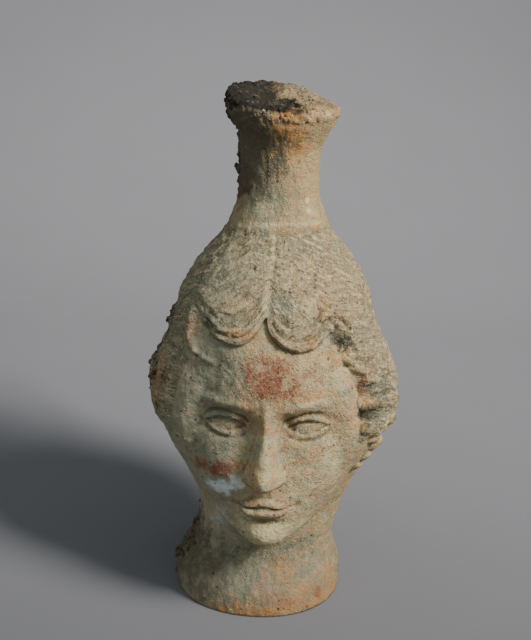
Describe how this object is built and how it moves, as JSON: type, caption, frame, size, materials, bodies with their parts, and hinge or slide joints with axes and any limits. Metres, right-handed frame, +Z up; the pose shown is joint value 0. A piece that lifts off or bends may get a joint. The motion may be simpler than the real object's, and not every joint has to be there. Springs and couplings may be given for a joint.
{
  "type": "oinochoe head vase",
  "caption": "Hollow fired-clay pouring jug in the form of a woman's head, with waved hair, a flared foot, a tall flared spout and a strap handle behind.",
  "frame": {"origin": "middle of the foot's flat underside, on the ground that the jug stands on", "axes": "+Z up; the face looks along -Y; the handle is behind, at +Y"},
  "size_m": [0.0867, 0.0944, 0.18],
  "materials": {
    "fired_clay": "unglazed, matt and gritty with burial crust"
  },
  "bodies": {
    "root": {"head_jug": "fired_clay"}
  },
  "joints": []
}
